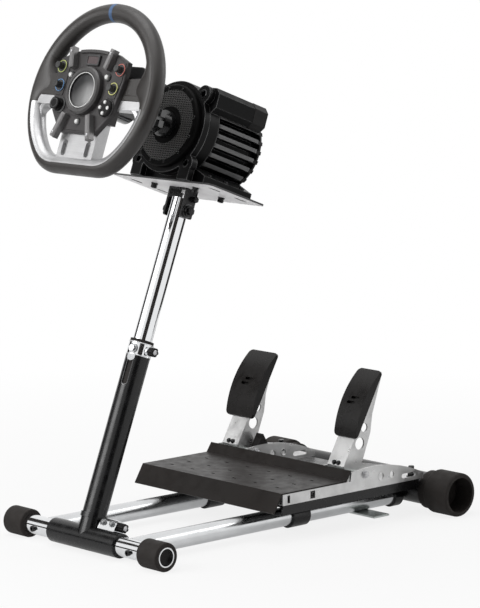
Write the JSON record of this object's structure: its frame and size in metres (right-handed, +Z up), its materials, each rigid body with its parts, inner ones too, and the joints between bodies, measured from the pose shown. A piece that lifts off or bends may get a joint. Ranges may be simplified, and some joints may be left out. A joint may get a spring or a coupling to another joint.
{
  "type": "racing wheel stand with wheel and pedals",
  "caption": "Folding floor stand for a racing wheel: tubular base on rubber feet, leaning telescopic stem, tilting plate with a wheel base and D-shaped wheel, and a sliding pedal set.",
  "frame": {"origin": "on the floor, under the middle of the whole part", "axes": "+X to the driver's right, +Y from the driver to the pedals, +Z up"},
  "size_m": [0.466, 0.7028, 0.8779],
  "materials": {
    "chrome": "polished chrome plate",
    "black_steel": "satin powder coat",
    "black_rubber": "matt moulded rubber",
    "galvanised": "zinc plated",
    "plate_grey": "light grey coat",
    "pedal_metal": "bead-blasted sheet",
    "pedal_rubber": "matt moulded rubber",
    "black_housing": "black anodised extrusion",
    "black_plastic": "fine texture",
    "rim_grip": "smooth grip cover",
    "trim_silver": "satin silver",
    "hub_grey": "satin moulding",
    "cap_gloss": "gloss lens",
    "knob_black": "knurled knob",
    "button_white": "gloss caps"
  },
  "bodies": {
    "frame": {"front_crossbar": "chrome", "front_left_foot": "black_rubber", "front_right_foot": "black_rubber", "left_rail": "chrome", "right_rail": "chrome", "left_rail_socket": "black_steel", "right_rail_socket": "black_steel", "crossbar_plugs": "black_plastic", "rear_crossbar": "black_steel", "rear_left_foot": "black_rubber", "rear_right_foot": "black_rubber", "shifter_strip": "galvanised"},
    "stem": {"lower_stem": "black_steel", "stem_collar": "chrome", "collar_seal": "black_rubber", "collar_knob": "black_plastic", "foot_clamp": "chrome", "foot_clamp_knob": "black_plastic"},
    "mast": {"upper_stem": "chrome"},
    "head": {"tilt_bracket": "black_steel", "tilt_bolt": "black_steel", "wheel_plate": "plate_grey", "base_housing": "black_housing", "base_foot": "black_housing", "front_flange": "black_housing", "front_cover": "black_plastic", "rear_cover": "black_plastic"},
    "wheel": {"drive_shaft": "black_steel", "wheel_rim": "rim_grip", "wheel_trim": "trim_silver", "spoke_covers": "rim_grip", "hub_plate": "hub_grey", "cap_bezel": "hub_grey", "centre_cap": "cap_gloss", "rotary_knobs": "knob_black", "hub_ribs": "hub_grey", "hub_buttons": "button_white", "direction_pad": "black_plastic", "joystick": "black_plastic", "display": "cap_gloss", "quick_release": "black_plastic", "paddle_mount": "black_plastic"},
    "left_shift": {"left_paddle": "black_plastic"},
    "right_shift": {"right_paddle": "black_plastic"},
    "pedal_set": {"pedal_tray": "black_steel", "left_rail_clip": "black_steel", "right_rail_clip": "black_steel", "heel_plate": "black_steel", "brake_bracket": "pedal_metal", "throttle_bracket": "pedal_metal", "brake_pin": "galvanised", "throttle_pin": "galvanised", "brake_damper": "pedal_rubber"},
    "brake": {"brake_arm": "pedal_metal", "brake_pad": "pedal_rubber"},
    "throttle": {"throttle_arm": "pedal_metal", "throttle_pad": "pedal_rubber"}
  },
  "joints": [
    {"name": "stem_fold", "type": "hinge", "parent": "frame", "child": "stem", "pos_m": [0, -0.31714, 0.023], "axis": [1, 0, 0], "range_deg": [-15, 60]},
    {"name": "stem_slide", "type": "slide", "parent": "stem", "child": "mast", "axis": [0, 0.3584, 0.9336], "range_m": [-0.15, 0.05]},
    {"name": "wheel_tilt", "type": "hinge", "parent": "mast", "child": "head", "pos_m": [0, -0.11896, 0.53927], "axis": [-1, 0, 0], "range_deg": [-65, 90]},
    {"name": "wheel_turn", "type": "hinge", "parent": "head", "child": "wheel", "pos_m": [0, -0.29456, 0.73514], "axis": [0, 0.9397, -0.342], "continuous": true},
    {"name": "left_shift_pull", "type": "hinge", "parent": "wheel", "child": "left_shift", "pos_m": [-0.047, -0.26439, 0.76247], "axis": [0, 0.342, 0.9397], "range_deg": [0, 4], "stiffness_Nm_per_rad": 4, "springref_deg": -2.86},
    {"name": "right_shift_pull", "type": "hinge", "parent": "wheel", "child": "right_shift", "pos_m": [0.047, -0.26439, 0.76247], "axis": [0, -0.342, -0.9397], "range_deg": [0, 4], "stiffness_Nm_per_rad": 4, "springref_deg": -2.86},
    {"name": "pedal_slide", "type": "slide", "parent": "frame", "child": "pedal_set", "axis": [0, -1, 0], "range_m": [0, 0.15]},
    {"name": "brake_press", "type": "hinge", "parent": "pedal_set", "child": "brake", "pos_m": [-0.14, 0.14386, 0.088], "axis": [-1, 0, 0], "range_deg": [0, 18], "stiffness_Nm_per_rad": 14, "springref_deg": -5.73},
    {"name": "throttle_press", "type": "hinge", "parent": "pedal_set", "child": "throttle", "pos_m": [0.121, 0.14386, 0.088], "axis": [-1, 0, 0], "range_deg": [0, 18], "stiffness_Nm_per_rad": 5, "springref_deg": -8.59}
  ]
}
